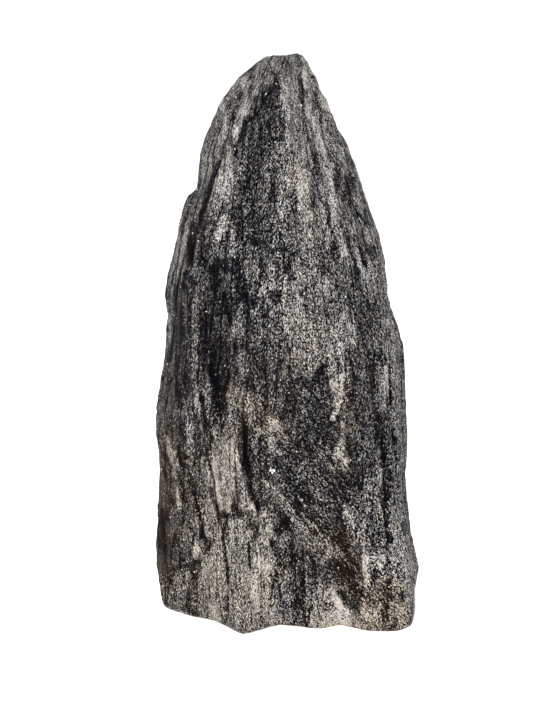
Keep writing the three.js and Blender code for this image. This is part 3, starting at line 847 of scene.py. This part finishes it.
# Dark layers hold the most loose flakes, and the sole holds none.
flaky = np.clip(0.45 - 0.8 * tone + 0.6 * uneven(layers, (5, 5, 12), 95, 2), 0.08, 1.3)
green = front * brushed(GREENS, 0.0 * x, 1.4)
crown_and_sole = np.array(vertices)[ring_count * around :]
keep_on_mesh("layers", layers, crown_and_sole)
keep_on_mesh("slant", slant, crown_and_sole)
for name, values, fill in (
    ("tone", tone, 0.0),
    ("slanted", slanted, 0.0),
    ("cast", cast, 0.6),
    ("hollow_shade", hollow_shade, 0.0),
    ("grain", grain, 1.0),
    ("green", green, 0.0),
    ("flaky", flaky * smooth(z, 0.5, 1.2), 0.0),
):
    keep_on_mesh(name, values, np.full((len(crown_and_sole), 1), fill))
stone = put("schist_stone", stone_mesh)


def emptied(owner):
    """The node tree of a material or a world, with nothing in it yet."""
    owner.use_nodes = True
    owner.node_tree.nodes.clear()
    return owner.node_tree


schist = bpy.data.materials.new("banded_mica_schist")
tree = emptied(schist)


def add(kind, inputs=None, **settings):
    """A node with its settings, and its inputs linked or set by name or number."""
    node = tree.nodes.new(kind)
    for name, value in settings.items():
        setattr(node, name, value)
    for name, value in (inputs or {}).items():
        if isinstance(value, bpy.types.NodeSocket):
            tree.links.new(value, node.inputs[name])
        else:
            node.inputs[name].default_value = value
    return node


def stored(name, output="Fac"):
    """What keep_on_mesh stored: a number, or a place where the output is Vector."""
    return add("ShaderNodeAttribute", attribute_name=name).outputs[output]


def stretched(vector, size):
    """The vector counted in lumps of the given size, in millimetres."""
    return add(
        "ShaderNodeVectorMath", {0: vector, 1: tuple(1 / s for s in size)}, operation="MULTIPLY"
    ).outputs[0]


def clouds(vector, size, detail, roughness=0.5):
    """Noise from about -0.5 to 0.5 in lumps of that size."""
    inputs = {"Vector": stretched(vector, size), "Scale": 1.0, "Detail": detail, "Roughness": roughness}
    return work("SUBTRACT", add("ShaderNodeTexNoise", inputs).outputs["Fac"], 0.5)


def crystals(vector, size):
    """Two random numbers from -0.5 to 0.5 for each crystal of about that size."""
    cells = add("ShaderNodeTexVoronoi", {"Vector": stretched(vector, size), "Scale": 1.0})
    numbers = add("ShaderNodeSeparateColor", {"Color": cells.outputs["Color"]}).outputs
    return work("SUBTRACT", numbers["Red"], 0.5), work("SUBTRACT", numbers["Green"], 0.5)


def seams(vector, size, thickness):
    """1 on the thin dark seams that part long lenses of that size, and 0 off them."""
    inputs = {"Vector": stretched(vector, size), "Scale": 1.0}
    cells = add("ShaderNodeTexVoronoi", inputs, feature="DISTANCE_TO_EDGE")
    return limited(work("MULTIPLY_ADD", cells.outputs["Distance"], -1 / thickness, 1.0))


def work(operation, first, second=0.0, third=0.0):
    """Arithmetic on two or three numbers."""
    return add("ShaderNodeMath", {0: first, 1: second, 2: third}, operation=operation).outputs[0]


def limited(value):
    """The value kept from 0 to 1."""
    return add("ShaderNodeClamp", {"Value": value}).outputs[0]


def sum_of(*terms):
    """The sum of (value, weight) terms."""
    total = 0.0
    for value, weight in terms:
        total = work("MULTIPLY_ADD", value, weight, total)
    return total


def blend(share, first, second):
    """The first number, or a share of the second in its place."""
    return add("ShaderNodeMix", {"Factor": share, 2: first, 3: second}).outputs[0]


# The sizes, in millimetres, of what lies in the layers: across them twice, then along them.
STREAK = (1.2, 1.2, 15)
FLECK = (0.24, 0.24, 1.0)
SLANT_FLECK = (0.24, 0.24, 1.6)  # flecks are longer inside the scar
CRYSTAL = (0.23, 0.23, 0.46)
PALE_LENS = (3.4, 3.4, 45)
SEAM_SHARE = 0.11  # how thick the dark seam round a lens is, as a share of it
SEAM_PATCH = (4, 4, 12)
slant_share = stored("slanted")
straight_way, slant_way = stored("layers", "Vector"), stored("slant", "Vector")
streaks = blend(slant_share, clouds(straight_way, STREAK, 3.0, 0.6), clouds(slant_way, STREAK, 3.0, 0.6))
flecks = blend(slant_share, clouds(straight_way, FLECK, 2.0, 0.7), clouds(slant_way, SLANT_FLECK, 2.0, 0.7))
in_place = add("ShaderNodeTexCoord").outputs["Object"]
place = add("ShaderNodeVectorMath", {0: in_place, 3: 1 / MM}, operation="SCALE").outputs[0]
straight_grains, straight_hues = crystals(straight_way, CRYSTAL)
slant_grains, slant_hues = crystals(slant_way, CRYSTAL)
grains = blend(slant_share, straight_grains, slant_grains)
grain_hues = blend(slant_share, straight_hues, slant_hues)
straight_seams = seams(straight_way, PALE_LENS, SEAM_SHARE)
all_seams = blend(slant_share, straight_seams, seams(slant_way, PALE_LENS, SEAM_SHARE))
seam_patches = limited(work("MULTIPLY_ADD", clouds(place, SEAM_PATCH, 1.0), 4.0, 0.7))
lens_seams = work("MULTIPLY", all_seams, seam_patches)
# The crystals with the highest hues are made paler still: painted glints.
GLINT_FROM = 0.45  # crystals with a hue above this glint
painted_glints = work("MULTIPLY", work("GREATER_THAN", grain_hues, GLINT_FROM), work("ADD", flecks, 0.5))

# How pale each spot is, from its band, its grain, the painted shade of its hollows and its seams.
MIDDLE_PALENESS = 0.412
strength = stored("grain")
round_grain = work("MULTIPLY", sum_of((grains, 0.90), (painted_glints, 0.46)), strength)
crystal_tone = work("MULTIPLY", sum_of((flecks, 1.40), (round_grain, 1.0)), strength)
paleness = sum_of(
    (stored("tone"), 0.47), (streaks, 0.14), (crystal_tone, 1.0), (stored("hollow_shade"), -0.26),
    (lens_seams, -0.40),
)
BLACK_MICA, PALE_QUARTZ = (0.0018, 0.0017, 0.0024), (0.458, 0.434, 0.406)
MIXED = {
    0.22: (0.0062, 0.0059, 0.0074),
    0.32: (0.0162, 0.0152, 0.0175),
    0.45: (0.0442, 0.0418, 0.0424),
    0.61: (0.122, 0.115, 0.109),
    0.79: (0.273, 0.260, 0.245),
}
colours = add("ShaderNodeValToRGB", {"Fac": work("ADD", paleness, MIDDLE_PALENESS)})
ramp = colours.color_ramp.elements
ramp[0].position, ramp[0].color = 0.12, (*BLACK_MICA, 1)
ramp[1].position, ramp[1].color = 1.0, (*PALE_QUARTZ, 1)
for level, colour in MIXED.items():
    ramp.new(level).color = (*colour, 1)


def tinted(colour, factor, tint):
    """The colour with a share of it multiplied by a tint."""
    inputs = {"Factor": factor, 6: colour, 7: (*tint, 1)}
    return add("ShaderNodeMix", inputs, data_type="RGBA", blend_type="MULTIPLY").outputs[2]


def shifted(colour, amount, film):
    """The colour with an amount of a film added or taken away, but never quite black."""
    inputs = {0: film, 1: amount, 2: colour}
    changed = add("ShaderNodeVectorMath", inputs, operation="MULTIPLY_ADD").outputs[0]
    return add("ShaderNodeVectorMath", {0: changed, 1: (0.0004,) * 3}, operation="MAXIMUM").outputs[0]


# Black mica looks bluish, iron stain and the painted reflection of a brown table are brown, and
# every crystal has a cast of its own. Tints multiply the colour, and a film is added to it and shows
# most where it is dark.
BLUE_TINT, STAIN_AND_REFLECTION_TINT, GREEN_TINT = (0.80, 0.95, 1.18), (1.045, 0.9025, 0.745), (0.52, 1.0, 0.80)
COOL_GRAIN, WARM_GRAIN = (0.93, 1.0, 1.10), (1.055, 0.99, 0.88)
STAIN_AND_REFLECTION_FILM, COOL_FILM = (0.0057, 0.0028, 0.0), (-0.0044, 0.0, 0.0044)
bluish = limited(work("MULTIPLY", stored("cast"), -1.0))
# Brown from iron stain and from the painted reflection at the foot and the lower right edge.
stain_and_brown_reflection = limited(work("DIVIDE", stored("cast"), 1.5))
coloured = tinted(colours.outputs["Color"], bluish, BLUE_TINT)
coloured = tinted(coloured, limited(work("MULTIPLY", grain_hues, 2.0)), COOL_GRAIN)
coloured = tinted(coloured, limited(work("MULTIPLY", grain_hues, -2.0)), WARM_GRAIN)
coloured = tinted(coloured, stain_and_brown_reflection, STAIN_AND_REFLECTION_TINT)
coloured = shifted(coloured, stain_and_brown_reflection, STAIN_AND_REFLECTION_FILM)
coloured = shifted(coloured, grain_hues, COOL_FILM)
coloured = tinted(coloured, stored("green"), GREEN_TINT)
GRAIN_HEIGHT = 0.0005  # in metres
MATT = {"Roughness": 0.55, "Specular IOR Level": 0.01}  # only the loose flakes and the quartz glint
height = sum_of((flecks, 0.5), (streaks, 0.5), (grains, 0.25))
bump = add("ShaderNodeBump", {"Height": height, "Strength": 1.0, "Distance": GRAIN_HEIGHT})
surface = add("ShaderNodeBsdfPrincipled", {"Base Color": coloured, "Normal": bump.outputs["Normal"], **MATT})
add("ShaderNodeOutputMaterial", {"Surface": surface.outputs[0]})
stone_mesh.materials.append(schist)

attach(stone, "root")
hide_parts("schist_block")

# ---- The mica flakes ------------------------------------------------------------------------------
# Thin six-sided leaves of pale mica that lie open on the broken layers and catch the light. They
# grew with the rock and are held by it, tilted every way and half sunk in.
FLAKES_PER_SQUARE_METRE = 22000.0
SMALLEST_FLAKE, LARGEST_FLAKE = 0.00028, 0.00065
FLAKE_TILT = math.radians(38)
FLAKE_SIDES, FLAKE_THICKNESS = 6, 0.14  # the thickness is a share of the width

leaves = bpy.data.node_groups.new("mica_leaves", "GeometryNodeTree")
wanted = {
    "Leaves per square metre": ("NodeSocketFloat", FLAKES_PER_SQUARE_METRE),
    "Smallest": ("NodeSocketFloat", SMALLEST_FLAKE),
    "Largest": ("NodeSocketFloat", LARGEST_FLAKE),
    "Tilt": ("NodeSocketFloat", FLAKE_TILT),
    "Seed": ("NodeSocketInt", 7),
}
leaves.interface.new_socket("Stone", in_out="INPUT", socket_type="NodeSocketGeometry")
leaves.interface.new_socket("Leaves", in_out="OUTPUT", socket_type="NodeSocketGeometry")
sockets = {}
for name, (kind, value) in wanted.items():
    sockets[name] = leaves.interface.new_socket(name, in_out="INPUT", socket_type=kind)

mica = bpy.data.materials.new("pale_mica")
tree = emptied(mica)


def clouded_shine(lumps, dark, light, roughness, gloss):
    """A shiny surface clouded from dark to light, each of them (noise level, colour)."""
    in_place = add("ShaderNodeTexCoord").outputs["Object"]
    noise = add("ShaderNodeTexNoise", {"Vector": in_place, "Scale": lumps, "Detail": 2.0})
    shades = add("ShaderNodeValToRGB", {"Fac": noise.outputs["Fac"]})
    for stop, (level, colour) in zip(shades.color_ramp.elements, (dark, light)):
        stop.position, stop.color = level, (*colour, 1)
    inputs = {"Base Color": shades.outputs["Color"], "Roughness": roughness, "Specular IOR Level": gloss}
    add("ShaderNodeOutputMaterial", {"Surface": add("ShaderNodeBsdfPrincipled", inputs).outputs[0]})


clouded_shine(900.0, (0.35, (0.20, 0.19, 0.17)), (0.65, (0.66, 0.65, 0.62)), 0.28, 0.7)

tree = leaves
given = add("NodeGroupInput").outputs
share = add("GeometryNodeInputNamedAttribute", {"Name": "flaky"}, data_type="FLOAT").outputs["Attribute"]
spots = add(
    "GeometryNodeDistributePointsOnFaces",
    {"Mesh": given["Stone"], "Density": work("MULTIPLY", given["Leaves per square metre"], share),
     "Seed": given["Seed"]},
)
least = add("ShaderNodeMath", {0: given["Tilt"], 1: -1.0}, operation="MULTIPLY").outputs[0]
turn = add(
    "FunctionNodeRandomValue",
    {0: add("ShaderNodeCombineXYZ", {0: least, 1: least, 2: 0.0}).outputs[0],
     1: add("ShaderNodeCombineXYZ", {0: given["Tilt"], 1: given["Tilt"], 2: math.tau}).outputs[0]},
    data_type="FLOAT_VECTOR",
).outputs[0]
tilted = add("FunctionNodeRotateRotation", {"Rotation": spots.outputs["Rotation"], "Rotate By": turn})
tilted.rotation_space = "LOCAL"
across = add(
    "FunctionNodeRandomValue", {2: given["Smallest"], 3: given["Largest"]}, data_type="FLOAT"
).outputs[1]
leaf_size = {"Vertices": FLAKE_SIDES, "Radius": 0.5, "Depth": FLAKE_THICKNESS}
leaf = add("GeometryNodeMeshCylinder", leaf_size).outputs["Mesh"]
lying = add(
    "GeometryNodeInstanceOnPoints",
    {"Points": spots.outputs["Points"], "Instance": leaf, "Rotation": tilted.outputs[0],
     "Scale": across},
)
real = add("GeometryNodeRealizeInstances", {"Geometry": lying.outputs[0]})
made = add("GeometryNodeSetMaterial", {"Geometry": real.outputs[0], "Material": mica})
add("NodeGroupOutput", {"Leaves": made.outputs[0]})

flakes = put("mica_flakes", stone_mesh.copy())
scatter = flakes.modifiers.new("leaves", "NODES")
scatter.node_group = leaves
for name, (kind, value) in wanted.items():
    scatter[sockets[name].identifier] = value
bpy.context.view_layer.update()
evaluated = flakes.evaluated_get(bpy.context.evaluated_depsgraph_get())
flake_mesh = bpy.data.meshes.new_from_object(evaluated)
flakes.modifiers.remove(scatter)
flakes.data = flake_mesh
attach(flakes, "root")

# ---- The quartz chips, painted glints -------------------------------------------------------------
# A few chips of milky quartz that are grown into the rock and stand out white where it broke, four
# of them in one cluster low in the scar. Their white stands in for glints of light: painted glints.
# Each is (column, row, size in millimetres).
GLINT_CHIPS = [
    (271, 471, 1.1), (273, 471, 1.2), (272, 473, 1.1), (270, 468, 0.5),
    (196, 190, 0.55), (190, 204, 0.50), (174, 316, 0.45), (385, 405, 0.50),
    (236, 97, 0.45), (237, 80, 0.45), (344, 505, 0.60), (353, 507, 0.50), (173, 593, 0.50),
    (391, 413, 0.55), (392, 419, 0.50),
]
quartz = bpy.data.materials.new("white_glint_quartz")
tree = emptied(quartz)
clouded_shine(700.0, (0.3, (0.55, 0.56, 0.56)), (0.6, (0.92, 0.93, 0.92)), 0.2, 0.5)
CHIP_HALVES = (0.5, 0.36, 0.22)  # half the length, width and thickness, as shares of the size
CHIP_TURN = 2.4  # radians from each chip to the next
final_column, final_row = in_frame(shaped)
chipped = bmesh.new()
for number, (chip_column, chip_row, size) in enumerate(GLINT_CHIPS):
    off = np.hypot(final_column - chip_column, final_row - chip_row) + 50 * (front < 0.9)
    spot = np.unravel_index(np.argmin(off), off.shape)
    facing = Vector(outward[spot]).to_track_quat("Z", "Y").to_matrix().to_4x4()
    turned = facing @ Matrix.Rotation(CHIP_TURN * number, 4, "Z")
    shape = Matrix.Diagonal((*(half * size for half in CHIP_HALVES), 1.0))
    where = Matrix.Scale(MM, 4) @ (Matrix.Translation(Vector(shaped[spot])) @ turned @ shape)
    bmesh.ops.create_icosphere(chipped, subdivisions=1, radius=1.0, matrix=where)
chip_mesh = bpy.data.meshes.new("quartz_glint_chips")
chipped.to_mesh(chip_mesh)
chipped.free()
chip_mesh.materials.append(quartz)
chips = put("quartz_glint_chips", chip_mesh)

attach(chips, "root")

# ---- The studio -----------------------------------------------------------------------------------
# A white table that runs out of sight under a bright overhead surround, darker behind the camera,
# and one broad lamp from the upper left.
HALF_SIDE = 40.0  # in metres
WHITE = {"Base Color": (0.9, 0.9, 0.9, 1), "Roughness": 0.9, "Specular IOR Level": 0.1}
white = bpy.data.materials.new("white_table")
tree = emptied(white)
add("ShaderNodeOutputMaterial", {"Surface": add("ShaderNodeBsdfPrincipled", WHITE).outputs[0]})
corners = [(i * HALF_SIDE, j * HALF_SIDE, 0) for i, j in ((-1, -1), (1, -1), (1, 1), (-1, 1))]
floor_mesh = bpy.data.meshes.new("table_top")
floor_mesh.from_pydata(corners, [], [(0, 1, 2, 3)])
floor_mesh.materials.append(white)
floor = put("table_top", floor_mesh)

# The surround is brightest overhead and dims towards the camera's side. The camera itself sees
# plain white.
OVERHEAD_GAIN, LEVEL_GLOW, CAMERA_SIDE_LOSS, BACKDROP = 1.3, 0.7, 0.6, 1.1
world = bpy.data.worlds.new("white_surround")
tree = emptied(world)
way = add("ShaderNodeSeparateXYZ", {0: add("ShaderNodeTexCoord").outputs["Generated"]})
overhead = work("MULTIPLY_ADD", work("MAXIMUM", way.outputs["Z"], 0.0), OVERHEAD_GAIN, LEVEL_GLOW)
behind_camera = work("MAXIMUM", work("MULTIPLY", way.outputs["Y"], -1.0), 0.0)
glow = work("MULTIPLY", overhead, work("MULTIPLY_ADD", behind_camera, -CAMERA_SIDE_LOSS, 1.0))
seen = add("ShaderNodeLightPath").outputs["Is Camera Ray"]
strength = add("ShaderNodeMix", {"Factor": seen, 2: glow, 3: BACKDROP}).outputs[0]
surround = add("ShaderNodeBackground", {"Color": (1, 1, 1, 1), "Strength": strength})
add("ShaderNodeOutputWorld", {"Surface": surround.outputs[0]})
bpy.context.scene.world = world

# A square lamp that faces the middle of the stone.
LAMP_SIDE, LAMP_POWER = 0.45, 20.0
LAMP_PLACE, LAMP_AIM = Vector((-0.22, -0.85, 0.95)), Vector((0, 0, 0.09))
light = bpy.data.lights.new("broad_lamp", "AREA")
light.size, light.energy = LAMP_SIDE, LAMP_POWER
lamp = put("broad_lamp", light)
lamp.location = LAMP_PLACE
lamp.rotation_euler = (LAMP_AIM - LAMP_PLACE).to_track_quat("-Z", "Y").to_euler()
bpy.context.scene.view_settings.view_transform = "Standard"
